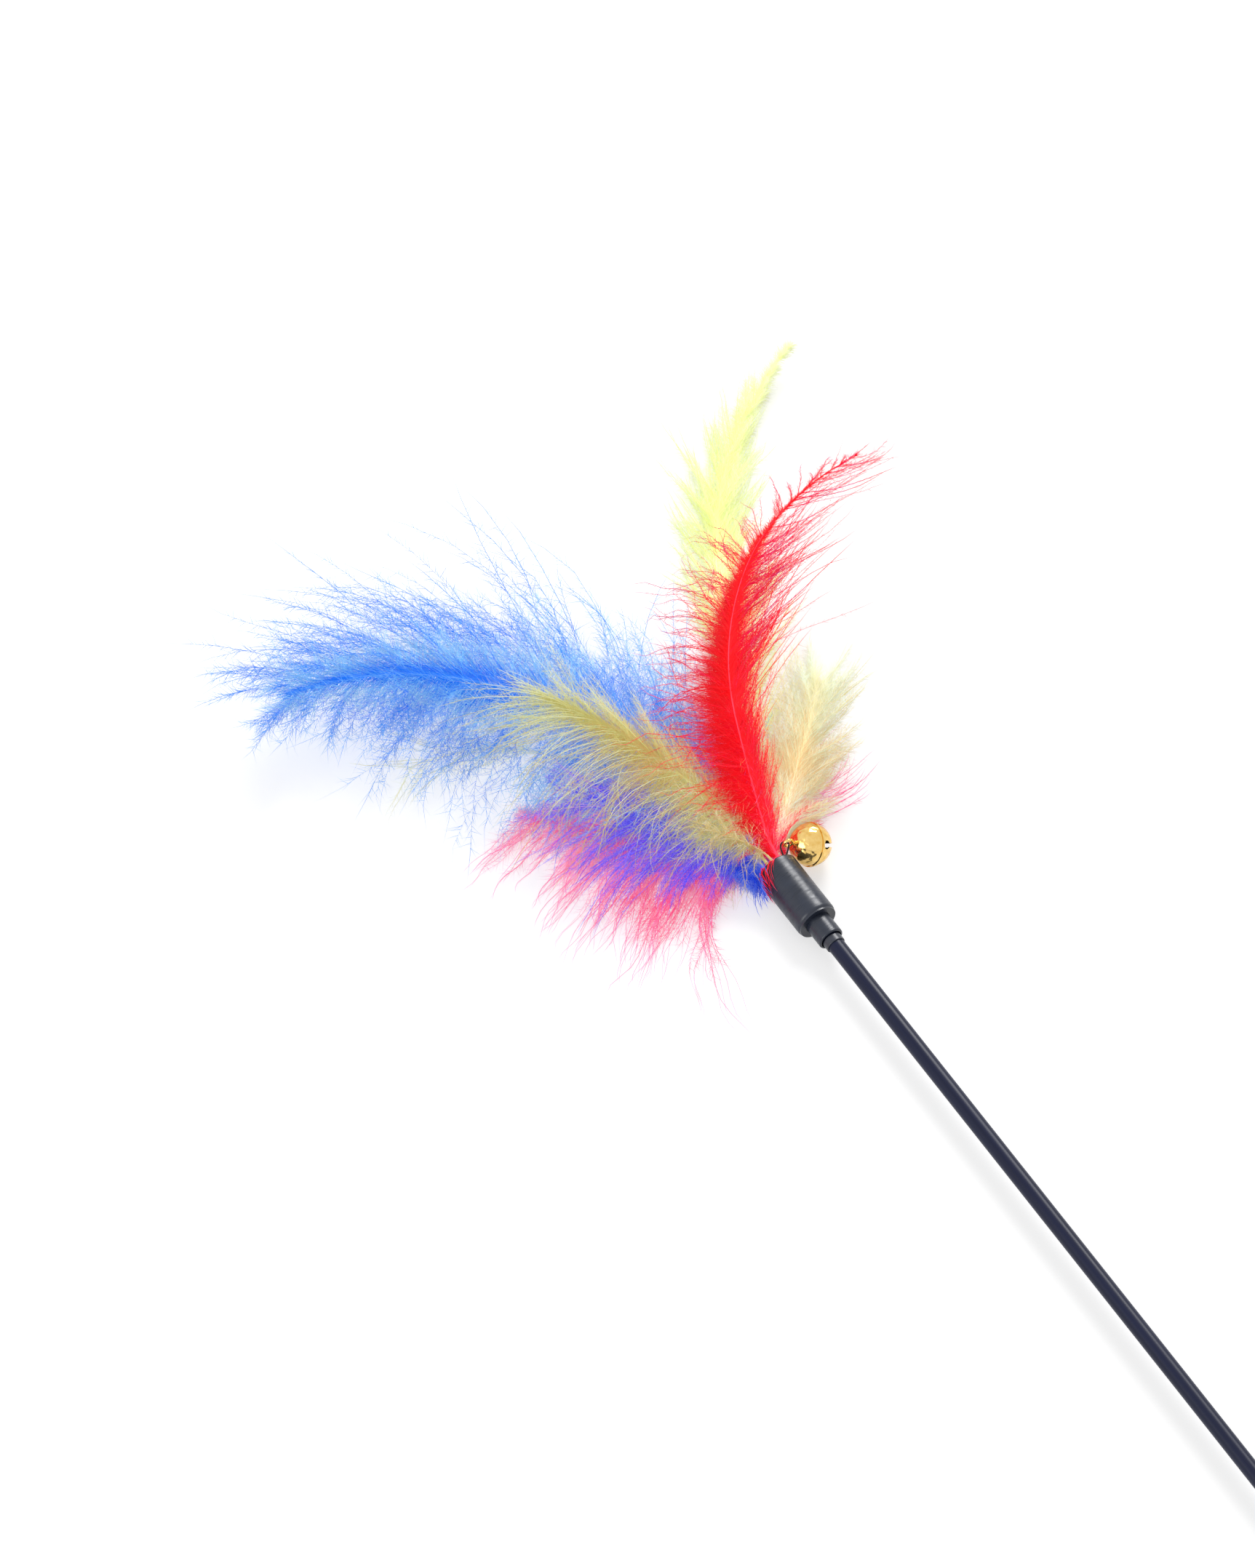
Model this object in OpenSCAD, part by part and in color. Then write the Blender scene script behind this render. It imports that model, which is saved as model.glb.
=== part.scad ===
// Feather wand for cats: a round rod with a soft cap that holds a spray of plumes and a small bell.
// The rod runs along X from its butt, at the origin, to the plumes. It lies on its cap, butt and plumes.

/* [Rod] */
// Length of the rod from its butt to its end inside the sleeve
rod_len = 399.5; // [200:0.5:800]
// Diameter of the rod
rod_d = 4; // [3:0.1:5]
// Length of the bead of glue on the rod below the sleeve
glue_bead_len = 2; // [1:0.1:4]
// Height of the bead of glue above the rod
glue_bead_thick = 0.3; // [0.2:0.05:0.5]

/* [Butt cap] */
// Outer diameter of the small cap on the butt
butt_cap_d = 6.1; // [5.2:0.1:9]
// Length of its straight wall
butt_cap_len = 12; // [8:0.5:25]

/* [Sleeve] */
// Outer diameter of the sleeve between rod and head cap
sleeve_d = 6.1; // [5.8:0.1:7]
// Length of the sleeve
sleeve_len = 14; // [13:0.5:16]
// Length of the rod inside the sleeve
sleeve_grip = 11; // [8:0.5:12]
// Length of the sleeve that shows below the head cap
sleeve_show = 5.5; // [3:0.1:7]
// Diameter of the flare at the sleeve's mouth
flare_d = 5.2; // [5.1:0.05:5.4]
// Depth of the flare
flare_depth = 1.3; // [0.5:0.1:2]
// Rounding of the sleeve's rim
sleeve_round = 0.35; // [0.1:0.05:0.4]

/* [Head cap] */
// Outer diameter of the head cap
cap_d = 9.85; // [9.6:0.05:12]
// Length of the head cap
cap_len = 17.3; // [16:0.1:22]
// Wall of the head cap round the quills
cap_wall = 0.85; // [0.6:0.05:1]
// Rounding of the head cap's closed end
cap_round = 1.2; // [0.5:0.1:1.5]
// Rounding of the head cap's lip
cap_lip_round = 0.3; // [0.1:0.05:0.4]

/* [Quills in the cap] */
// Diameter of a quill where it goes into the cap
quill_d = 0.9; // [0.6:0.05:1]
// Diameter of a quill at the tip of the plume
quill_tip_d = 0.2; // [0.1:0.02:0.3]
// Radius of the outer circle of quills
quill_ring_r = 2.5; // [2.4:0.05:2.6]
// Radius of the inner circle of quills
quill_core_r = 1; // [0.9:0.05:1.1]
// Length over which the quills turn outwards at the mouth
quill_bend = 9; // [7:0.5:12]
// Length of the plug of glue that holds the quills
plug_len = 5.1; // [3:0.1:6]
// Length of a quill inside the glue
quill_set = 4; // [2:0.1:5]
// Length of the thread winding round the quills
binding_len = 2.5; // [1:0.1:3]
// Thickness of the thread winding
binding_thick = 0.4; // [0.2:0.05:0.6]

/* [Bell] */
// Outer diameter of the bell
bell_d = 9.9; // [8:0.1:10.4]
// Wall of the bell
bell_wall = 0.35; // [0.2:0.05:0.5]
// Width of the crimped rim that stands out at the equator
bell_rim_out = 0.2; // [0.1:0.05:0.3]
// Height of each half of that rim
bell_rim_h = 0.28; // [0.15:0.01:0.4]
// Width of the sound slot
slot_w = 0.9; // [0.5:0.1:1.2]
// Diameter of the slot's round ends
slot_end_d = 2; // [1.2:0.1:2.4]
// Diameter of the steel pellet
pellet_d = 3; // [2.6:0.1:3.2]
// Outer diameter of the eye
eye_d = 2.8; // [2.6:0.05:3]
// Diameter of the eye's wire
eye_wire_d = 0.76; // [0.6:0.02:0.8]
// Length of the eye's neck between crown and ring
eye_neck = 0.12; // [0.1:0.01:0.4]
// Diameter of the thread that ties the bell
tie_d = 0.4; // [0.3:0.02:0.5]
// Distance of the bell's centre in front of the cap's mouth
bell_ahead = 1.6; // [1.5:0.1:3]

/* [Tall yellow plume] */
// Length outside the cap
yellow_tall_len = 153; // [120:1:180]
// Reach of the vane to the left
yellow_tall_left = 11; // [8:0.5:16]
// Reach of the vane to the right
yellow_tall_right = 10; // [8:0.5:16]

/* [Tall red plume] */
// Length outside the cap
red_tall_len = 122; // [97:1:150]
// Reach of the vane to the left
red_tall_left = 14; // [8:0.5:18]
// Reach of the vane to the right
red_tall_right = 15; // [8:0.5:18]

/* [Pale yellow plume on the right] */
// Length outside the cap
yellow_right_len = 56; // [44:1:75]
// Reach of the vane to the left
yellow_right_left = 9; // [6:0.5:12]
// Reach of the vane to the right
yellow_right_right = 12; // [6:0.5:14]

/* [Red plume on the right] */
// Length outside the cap
red_right_len = 34; // [27:1:45]
// Reach of the vane to the left
red_right_left = 7; // [4:0.5:9]
// Reach of the vane to the right
red_right_right = 10; // [6:0.5:12]

/* [Long blue plume] */
// Length outside the cap
blue_long_len = 147; // [117:1:170]
// Reach of the vane to the left
blue_long_left = 21; // [12:0.5:24]
// Reach of the vane to the right
blue_long_right = 27; // [14:0.5:30]

/* [Blue plume below it] */
// Length outside the cap
blue_lower_len = 72; // [57:1:85]
// Reach of the vane to the left
blue_lower_left = 19; // [12:0.5:22]
// Reach of the vane to the right
blue_lower_right = 13; // [8:0.5:16]

/* [Pink plume at the bottom] */
// Length outside the cap
pink_lower_len = 70; // [56:1:85]
// Reach of the vane to the left
pink_lower_left = 33; // [20:0.5:36]
// Reach of the vane to the right
pink_lower_right = 10; // [8:0.5:14]

/* [Thin yellow plume under the blue] */
// Length outside the cap
yellow_under_len = 106; // [84:1:120]
// Reach of the vane to the left
yellow_under_left = 9; // [6:0.5:12]
// Reach of the vane to the right
yellow_under_right = 9; // [6:0.5:12]

/* [Yellow plume over the blue] */
// Length outside the cap
yellow_mid_len = 85; // [68:1:100]
// Reach of the vane to the left
yellow_mid_left = 17; // [10:0.5:20]
// Reach of the vane to the right
yellow_mid_right = 13; // [8:0.5:16]

/* [Short yellow plume] */
// Length outside the cap
yellow_base_len = 23; // [18:1:30]
// Reach of the vane to the left
yellow_base_left = 9; // [5:0.5:11]
// Reach of the vane to the right
yellow_base_right = 6; // [4:0.5:9]

/* [Short blue plume] */
// Length outside the cap
blue_base_len = 20; // [16:1:30]
// Reach of the vane to the left
blue_base_left = 9; // [5:0.5:11]
// Reach of the vane to the right
blue_base_right = 7; // [4:0.5:9]

/* [Short red plume] */
// Length outside the cap
red_base_len = 23; // [18:1:26]
// Reach of the vane to the left
red_base_left = 4; // [3:0.5:6]
// Reach of the vane to the right
red_base_right = 4; // [3:0.5:6]

/* [Hidden] */
$fn = 64;

// Clearances: between glued pieces, round the sleeve, and between bodies that move
glue_gap = 0.03;
neck_gap = 0.06;
move_gap = 0.25;
pellet_gap = 0.12;
// One overrun serves all cuts
overrun = 1;

rod_r = rod_d / 2;
sleeve_r = sleeve_d / 2;
cap_r = cap_d / 2;
quill_r = quill_d / 2;
bell_r = bell_d / 2;
butt_r = butt_cap_d / 2;

// Stations along the axis, from the butt
sleeve_x0 = rod_len - sleeve_grip;
sleeve_x1 = sleeve_x0 + sleeve_len;
cap_x0 = sleeve_x0 + sleeve_show;
mouth_x = cap_x0 + cap_len;
plug_x0 = sleeve_x1 + glue_gap;
plug_x1 = plug_x0 + plug_len;
quill_x0 = plug_x1 - quill_set;
binding_x0 = plug_x1 + glue_gap;
binding_x1 = binding_x0 + binding_len;
cap_bore_r = cap_r - cap_wall;
binding_r = quill_ring_r + quill_r + glue_gap;

// The bell lies beside the mouth, its eye turned up and towards the quills
bell_yaw = -10;
bell_dip = 32.5;
slot_turn = 48.6;
slot_end_low = 12;
bell_at = [mouth_x + bell_ahead, -(cap_r + bell_r + move_gap), bell_r - cap_r + move_gap];
bell_axis = [-cos(bell_dip) * sin(bell_yaw), cos(bell_dip) * cos(bell_yaw), sin(bell_dip)];
eye_r = (eye_d - eye_wire_d) / 2;
eye_h = bell_r + eye_neck + eye_d / 2;
eye_at = bell_at + eye_h * bell_axis;
neck_hole_r = eye_wire_d / 2 + glue_gap;
cavity_r = bell_r - bell_wall;
rivet_r = eye_wire_d;
rivet_len = eye_wire_d / 2;
rivet_top = sqrt(cavity_r * cavity_r - rivet_r * rivet_r) - glue_gap;
pellet_orbit = cavity_r - pellet_d / 2 - pellet_gap;

// Route of the tie in its own plane: along X from the eye, in shares of the eye's diameter, and
// outwards from the rod's axis, in shares of the eye's distance from it
tie_out = norm([eye_at.y, eye_at.z]);
tie_dir = [0, eye_at.y, eye_at.z] / tie_out;
tie_leg_shares = [1, 2.3];
tie_leg_r = [for (share = tie_leg_shares) cap_bore_r - share * tie_d];
tie_start = binding_x1 + tie_d / 2 - eye_at.x;
tie_lip = mouth_x + tie_d - eye_at.x;
tie_route_shares = [
    [-0.27, 0.93], [0, 1], [0.27, 0.95], [0.42, 0.84], [0.36, 0.72], [0.05, 0.63]
];
tie_route = concat(
    [[tie_start, tie_leg_r[0]], [tie_lip, tie_leg_r[0]]],
    [for (p = tie_route_shares) [p[0] * eye_d, p[1] * tie_out]],
    [[tie_lip, tie_leg_r[1]], [tie_start, tie_leg_r[1]]]
);
tie_sides = 8;
tie_steps = 3;

// Each plume's turns to the left and rises, in degrees, at these shares of its length
turn_shares = [0, 0.3, 0.6, 1];
rise_shares = [0, 0.4, 0.7, 1];
yellow_tall_turn_degrees = [-33, -20, -29, -69];
yellow_tall_rise_degrees = [-3, -1, 3, 10];
red_tall_turn_degrees = [-15, -20, -51, -109];
red_tall_rise_degrees = [19, 11, 9, 14];
yellow_right_turn_degrees = [-44, -48, -47, -40];
yellow_right_rise_degrees = [8, 10, 12, 14];
red_right_turn_degrees = [-44, -47, -66, -84];
red_right_rise_degrees = [-9, -2, 6, 12];
blue_long_turn_degrees = [-13, 25, 47, 102];
blue_long_rise_degrees = [3, 4, 5, 9];
blue_lower_turn_degrees = [43, 35, 39, 72];
blue_lower_rise_degrees = [9, 8, 5, 0];
pink_lower_turn_degrees = [48, 39, 43, 57];
pink_lower_rise_degrees = [-6, 0, 1, 2];
yellow_under_turn_degrees = [-1, 26, 43, 104];
yellow_under_rise_degrees = [0, 0, 0, 1];
yellow_mid_turn_degrees = [2, 17, 30, 44];
yellow_mid_rise_degrees = [13, 12, 10, 6];
yellow_base_turn_degrees = [39, 39, 41, 44];
yellow_base_rise_degrees = [42, 28, 8, -8];
blue_base_turn_degrees = [97, 95, 89, 86];
blue_base_rise_degrees = [0, 8, 6, -8];
red_base_turn_degrees = [-44, -54, -56, -70];
red_base_rise_degrees = [-4, 0, 3, 6];

// Outline of a vane: reach of the barbs, their forward sweep and the depth of the gaps between locks
reach_shares = [[0, 0.12], [0.06, 0.5], [0.2, 0.9], [0.42, 1], [0.65, 0.86], [0.85, 0.5], [1, 0.05]];
sweep_shares = [[0, 0.15], [0.3, 0.45], [0.7, 0.85], [1, 1.3]];
gap_shares = [[0, 0.2], [0.4, 0.3], [1, 0.45]];
vane_thick_share = 0.032;
lock_vary_share = 0.12;
// Sag of a vane's edges, of its reach
drooping_share = 0.1;
level_share = 0.05;
sweep_power = 1.6;
// Across a vane: half-reach shares and thickness shares of the ring's points, from top to top
across_shares = [0, 0.12, 0.5, 1, 0.5, 0.12, 0, -0.12, -0.5, -1, -0.5, -0.12];
thick_shares = [1, 0.9, 0.55, 0, -0.55, -0.9, -1, -0.9, -0.55, 0, 0.55, 0.9];
ring_n = len(across_shares);
quill_steps = 5;

// Zero at the mouth and one past the bend, with a smooth start and end
function ease(t) = let (u = min(1, max(0, t))) u * u * (3 - 2 * u);
function stations(shares, values) = [for (i = [0 : len(shares) - 1]) [shares[i], values[i]]];

// Direction of a spine at the distance s from the mouth: turn to the left and rise
function spine_turn(s, len, turns) = ease(s / quill_bend) * lookup(s / len, stations(turn_shares, turns));
function spine_rise(s, len, rises) = ease(s / quill_bend) * lookup(s / len, stations(rise_shares, rises));
function spine_dir(s, len, turns, rises) =
    let (a = spine_turn(s, len, turns), e = spine_rise(s, len, rises))
    [cos(e) * cos(a), cos(e) * sin(a), sin(e)];

// Points along a spine at the distances in list at, each stretch taken in its middle direction
function spine_points(start, at, len, turns, rises) = [
    for (i = 0, p = start; i < len(at);
         p = p + (i + 1 < len(at) ? (at[i + 1] - at[i])
             * spine_dir((at[i] + at[min(i + 1, len(at) - 1)]) / 2, len, turns, rises) : [0, 0, 0]),
         i = i + 1) p
];

// Faces of a tube of rings, closed at both ends
function tube_faces(rings, sides) = concat(
    [[for (k = [sides - 1 : -1 : 0]) k]],
    [for (i = [0 : rings - 2], k = [0 : sides - 1], half = [0, 1])
        let (a = i * sides + k, b = i * sides + (k + 1) % sides)
        half == 0 ? [a, b, a + sides] : [b, b + sides, a + sides]],
    [[for (k = [0 : sides - 1]) (rings - 1) * sides + k]]
);

// Turned pieces: the profile's X is the radius and its Y the distance along the rod
module turned(x) {
    translate([x, 0, 0]) rotate([0, 90, 0]) rotate_extrude() children();
}

module bar_profile(r, len, round_start, round_end) {
    translate([0, round_start]) square([r, len - round_start - round_end]);
    square([r - round_start, len]);
    translate([r - round_start, round_start]) circle(round_start);
    translate([r - round_end, len - round_end]) circle(round_end);
    square([r - round_end, len]);
}

module rod() {
    color("#20242c") turned(0) square([rod_r, rod_len]);
}

module butt_cap() {
    color("#24272c") turned(0) {
        difference() {
            square([butt_r, butt_cap_len]);
            square([rod_r + glue_gap, butt_cap_len + overrun]);
        }
        intersection() {
            circle(butt_r);
            translate([0, -butt_r]) square([butt_r, butt_r]);
        }
    }
}

module rod_glue() {
    bead_round = glue_bead_thick / 2;
    color("#4a4e58") turned(sleeve_x0 - glue_bead_len) difference() {
        bar_profile(rod_r + glue_bead_thick, glue_bead_len - glue_gap, bead_round, bead_round);
        translate([0, -overrun]) square([rod_r + glue_gap, glue_bead_len + 2 * overrun]);
    }
}

module sleeve() {
    color("#24272c") turned(sleeve_x0) difference() {
        bar_profile(sleeve_r, sleeve_len, sleeve_round, sleeve_round);
        translate([0, -overrun]) square([rod_r + glue_gap, sleeve_len + 2 * overrun]);
        polygon([
            [0, -overrun], [flare_d / 2, -overrun], [flare_d / 2, 0],
            [rod_r + glue_gap, flare_depth], [0, flare_depth]
        ]);
    }
}

module head_cap() {
    color("#26292e") turned(cap_x0) difference() {
        bar_profile(cap_r, cap_len, cap_round, cap_lip_round);
        translate([0, -overrun]) square([sleeve_r + neck_gap, sleeve_x1 - cap_x0 + 2 * overrun]);
        translate([0, sleeve_x1 - cap_x0]) square([cap_bore_r, cap_len]);
    }
}

module quill_bore(place) {
    translate([quill_x0 - glue_gap, place.x, place.y]) rotate([0, 90, 0])
        cylinder(r = quill_r + glue_gap, h = quill_set + overrun);
}

module glue_plug() {
    color("#d9cf9a") difference() {
        turned(plug_x0) square([cap_bore_r - glue_gap, plug_len]);
        for (place = quill_places) quill_bore(place);
    }
}

module quill_binding() {
    binding_round = binding_thick / 3;
    color("#2c2c30") turned(binding_x0) difference() {
        bar_profile(binding_r + binding_thick, binding_len, binding_round, binding_round);
        translate([0, -overrun]) square([binding_r, binding_len + 2 * overrun]);
    }
}

// Points on a smooth curve through the route, with its end points doubled
function curve_point(a, b, c, d, t) =
    0.5 * (2 * b + (c - a) * t + (2 * a - 5 * b + 4 * c - d) * t * t
        + (3 * b - a - 3 * c + d) * t * t * t);
function smooth_route(route, steps) = let (last = len(route) - 1) concat(
    [for (i = [0 : last - 1], j = [0 : steps - 1])
        curve_point(route[max(0, i - 1)], route[i], route[i + 1], route[min(last, i + 2)], j / steps)],
    [route[last]]
);

module bell_tie() {
    path = smooth_route(tie_route, tie_steps);
    last = len(path) - 1;
    side = cross(tie_dir, [1, 0, 0]);
    rings = [for (i = [0 : last], k = [0 : tie_sides - 1])
        let (
            step = path[min(last, i + 1)] - path[max(0, i - 1)],
            across = [-step.y, step.x] / norm(step),
            a = 360 * k / tie_sides,
            p = path[i] + tie_d / 2 * cos(a) * across
        )
        [eye_at.x + p.x, 0, 0] + p.y * tie_dir + tie_d / 2 * sin(a) * side];
    color("#303036") polyhedron(rings, tube_faces(last + 1, tie_sides));
}

// The bell's own place: its centre, with Z towards the eye and X along the axis that it swings on
module bell_place() {
    translate(bell_at) rotate([0, 0, bell_yaw]) rotate([bell_dip - 90, 0, 0]) children();
}

module half_shell() {
    rotate_extrude() {
        difference() {
            intersection() {
                circle(bell_r);
                square([bell_r, bell_r]);
            }
            circle(cavity_r);
        }
        translate([cavity_r, 0]) square([bell_wall + bell_rim_out, bell_rim_h]);
    }
}

module bell_crown() {
    color("#d8a93a") bell_place() difference() {
        half_shell();
        cylinder(r = neck_hole_r, h = bell_d);
    }
}

module bell_base() {
    slot_top = bell_r * sin(slot_end_low);
    color("#d8a93a") bell_place() mirror([0, 0, 1]) difference() {
        half_shell();
        rotate([0, 0, slot_turn]) {
            translate([-bell_d / 2, -slot_w / 2, slot_top]) cube([bell_d, slot_w, bell_d]);
            for (side = [0, 180])
                rotate([0, 0, side]) rotate([0, 90 - slot_end_low, 0]) cylinder(d = slot_end_d, h = bell_d);
        }
    }
}

module bell_eye() {
    color("#e0b44a") bell_place() {
        translate([0, 0, eye_h]) rotate([0, 90, 0]) rotate_extrude()
            translate([eye_r, 0]) circle(d = eye_wire_d);
        translate([0, 0, rivet_top - rivet_len]) {
            cylinder(d = eye_wire_d, h = eye_h - eye_r - rivet_top + rivet_len);
            cylinder(r = rivet_r, h = rivet_len);
        }
    }
}

module bell_pellet() {
    color("silver") translate(bell_at - [0, 0, pellet_orbit]) sphere(d = pellet_d);
}

// One plume: a round quill set in the glue, then a thin vane of pointed locks on both sides.
// Sag bends its edges down, locks is how many it has a side, and seed varies their lengths
module plume(place, len, bare, reach, turns, rises, sag, locks, seed) {
    vary = rands(-lock_vary_share, lock_vary_share, 4 * locks + 4, seed);
    quill_at = [for (i = [0 : quill_steps]) bare * i / quill_steps];
    vane_at = [for (i = [0 : 2 * locks]) bare + (len - bare) * (i + 0.5) / (2 * locks + 0.5)];
    at = concat(quill_at, vane_at);
    points = spine_points([mouth_x, place.x, place.y], at, len, turns, rises);
    rings = [for (i = [0 : len(at) - 1], k = [0 : ring_n - 1])
        let (
            a = spine_turn(at[i], len, turns),
            e = spine_rise(at[i], len, rises),
            ahead = [cos(e) * cos(a), cos(e) * sin(a), sin(e)],
            left = [-sin(a), cos(a), 0],
            top = cross(ahead, left),
            r = quill_r + (quill_tip_d / 2 - quill_r) * at[i] / len,
            j = i - quill_steps - 1,
            u = (at[i] - bare) / (len - bare),
            side = across_shares[k] > 0 ? 0 : 1,
            full = lookup(u, reach_shares) * reach[side],
            gap = j % 2 == 1 ? lookup(u, gap_shares) : 0,
            wide = full * (1 - gap + vary[2 * max(0, j) + side]),
            y = across_shares[k] * wide,
            part = abs(y) / full,
            thick = max(r, vane_thick_share * full),
            vane = y * left + (thick_shares[k] * thick - sag * full * part * part) * top
                + lookup(u, sweep_shares) * full * pow(part, sweep_power) * ahead,
            round_quill = r * (sin(360 * k / ring_n) * left + cos(360 * k / ring_n) * top)
        )
        points[i] + (j < 0 ? round_quill : vane)];
    start = [for (k = [0 : ring_n - 1])
        [quill_x0, place.x + quill_r * sin(360 * k / ring_n), place.y + quill_r * cos(360 * k / ring_n)]];
    polyhedron(concat(start, rings), tube_faces(len(at) + 1, ring_n));
}

// Places of the quills in the mouth, by angle from the left over the top
function place(r, angle) = [r * cos(angle), r * sin(angle)];
yellow_tall_place = place(quill_ring_r, 250);
red_tall_place = place(quill_ring_r, 125);
yellow_right_place = place(quill_ring_r, 170);
red_right_place = place(quill_ring_r, 210);
blue_long_place = place(quill_core_r, 0);
blue_lower_place = place(quill_ring_r, 20);
pink_lower_place = place(quill_ring_r, 290);
yellow_under_place = place(quill_ring_r, 320);
yellow_mid_place = place(quill_ring_r, 50);
yellow_base_place = place(quill_ring_r, 80);
blue_base_place = place(quill_ring_r, 350);
red_base_place = place(quill_core_r, 180);
quill_places = [
    yellow_tall_place, red_tall_place, yellow_right_place, red_right_place,
    blue_long_place, blue_lower_place, pink_lower_place, yellow_under_place,
    yellow_mid_place, yellow_base_place, blue_base_place, red_base_place
];

// Lengths of bare quill between the mouth and the vane
long_bare = 14;
side_bare = 12;
short_bare = 7;

module yellow_tall() {
    color("#eef27a") plume(
        yellow_tall_place, yellow_tall_len, long_bare, [yellow_tall_left, yellow_tall_right],
        yellow_tall_turn_degrees, yellow_tall_rise_degrees, 0, 26, 11
    );
}

module red_tall() {
    color("#f01826") plume(
        red_tall_place, red_tall_len, side_bare, [red_tall_left, red_tall_right],
        red_tall_turn_degrees, red_tall_rise_degrees, drooping_share, 26, 12
    );
}

module yellow_right() {
    color("#ecd68a") plume(
        yellow_right_place, yellow_right_len, long_bare, [yellow_right_left, yellow_right_right],
        yellow_right_turn_degrees, yellow_right_rise_degrees, 0, 14, 13
    );
}

module red_right() {
    color("#f04a5c") plume(
        red_right_place, red_right_len, long_bare, [red_right_left, red_right_right],
        red_right_turn_degrees, red_right_rise_degrees, 0, 10, 14
    );
}

module blue_long() {
    color("#2f7bea") plume(
        blue_long_place, blue_long_len, long_bare, [blue_long_left, blue_long_right],
        blue_long_turn_degrees, blue_long_rise_degrees, 0, 30, 15
    );
}

module blue_lower() {
    color("#5a62ea") plume(
        blue_lower_place, blue_lower_len, side_bare, [blue_lower_left, blue_lower_right],
        blue_lower_turn_degrees, blue_lower_rise_degrees, level_share, 18, 16
    );
}

module pink_lower() {
    color("#f65a80") plume(
        pink_lower_place, pink_lower_len, side_bare, [pink_lower_left, pink_lower_right],
        pink_lower_turn_degrees, pink_lower_rise_degrees, 0, 18, 17
    );
}

module yellow_under() {
    color("#e6eebc") plume(
        yellow_under_place, yellow_under_len, long_bare, [yellow_under_left, yellow_under_right],
        yellow_under_turn_degrees, yellow_under_rise_degrees, 0, 20, 18
    );
}

module yellow_mid() {
    color("#cfc868") plume(
        yellow_mid_place, yellow_mid_len, side_bare, [yellow_mid_left, yellow_mid_right],
        yellow_mid_turn_degrees, yellow_mid_rise_degrees, drooping_share, 20, 19
    );
}

module yellow_base() {
    color("#d8cf8c") plume(
        yellow_base_place, yellow_base_len, short_bare, [yellow_base_left, yellow_base_right],
        yellow_base_turn_degrees, yellow_base_rise_degrees, drooping_share, 8, 20
    );
}

module blue_base() {
    color("#2038d8") plume(
        blue_base_place, blue_base_len, short_bare, [blue_base_left, blue_base_right],
        blue_base_turn_degrees, blue_base_rise_degrees, 0, 8, 21
    );
}

module red_base() {
    color("#e01020") plume(
        red_base_place, red_base_len, side_bare, [red_base_left, red_base_right],
        red_base_turn_degrees, red_base_rise_degrees, 0, 6, 22
    );
}

rod();
butt_cap();
rod_glue();
sleeve();
head_cap();
glue_plug();
quill_binding();
bell_tie();
bell_eye();
bell_crown();
bell_base();
bell_pellet();
yellow_tall();
red_tall();
yellow_right();
red_right();
blue_long();
blue_lower();
pink_lower();
yellow_under();
yellow_mid();
yellow_base();
blue_base();
red_base();
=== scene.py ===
import bmesh
import bpy
import math
import numpy as np
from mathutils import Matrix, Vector


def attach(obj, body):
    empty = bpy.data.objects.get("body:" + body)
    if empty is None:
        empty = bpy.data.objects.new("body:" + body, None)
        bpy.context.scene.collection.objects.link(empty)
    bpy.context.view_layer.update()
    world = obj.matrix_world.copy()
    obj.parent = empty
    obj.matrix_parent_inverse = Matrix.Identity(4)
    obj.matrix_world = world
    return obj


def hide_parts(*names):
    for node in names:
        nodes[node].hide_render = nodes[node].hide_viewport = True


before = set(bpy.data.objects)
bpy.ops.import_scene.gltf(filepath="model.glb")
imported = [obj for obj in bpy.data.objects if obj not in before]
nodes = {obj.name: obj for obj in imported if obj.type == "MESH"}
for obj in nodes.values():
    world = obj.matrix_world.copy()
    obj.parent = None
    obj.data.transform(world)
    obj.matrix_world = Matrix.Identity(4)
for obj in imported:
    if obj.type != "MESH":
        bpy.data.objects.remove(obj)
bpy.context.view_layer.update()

# Studio floor and surround: a sheet of pale paper that the wand lies on, under a white tent. The
# camera sees both as white, and the paper keeps the wand's shadow.
MM = 0.001
FLOOR_Z = -4.96 * MM
FLOOR_REACH = 3.0
FLOOR_X = 0.3
PAPER_GLOW = 0.55
TENT_LIGHT = 0.55


def paint(code, alpha=1.0):
    """A web colour as the linear colour that a shader takes."""
    parts = [int(code[i:i + 2], 16) / 255 for i in (1, 3, 5)]
    return [c / 12.92 if c <= 0.04045 else ((c + 0.055) / 1.055) ** 2.4 for c in parts] + [alpha]


def new_material(name):
    """A material with its Principled shader: (material, nodes, link function, shader)."""
    mat = bpy.data.materials.new(name)
    mat.use_nodes = True
    tree = mat.node_tree
    return mat, tree.nodes, tree.links.new, tree.nodes["Principled BSDF"]


def seen_rays(tree_nodes, link):
    """One for rays from the camera, a mirror or glass, and zero for soft light."""
    path = tree_nodes.new("ShaderNodeLightPath")
    first = tree_nodes.new("ShaderNodeMath")
    first.operation = "MAXIMUM"
    link(path.outputs["Is Camera Ray"], first.inputs[0])
    link(path.outputs["Is Glossy Ray"], first.inputs[1])
    both = tree_nodes.new("ShaderNodeMath")
    both.operation = "MAXIMUM"
    link(first.outputs[0], both.inputs[0])
    link(path.outputs["Is Transmission Ray"], both.inputs[1])
    return both.outputs[0]


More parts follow.
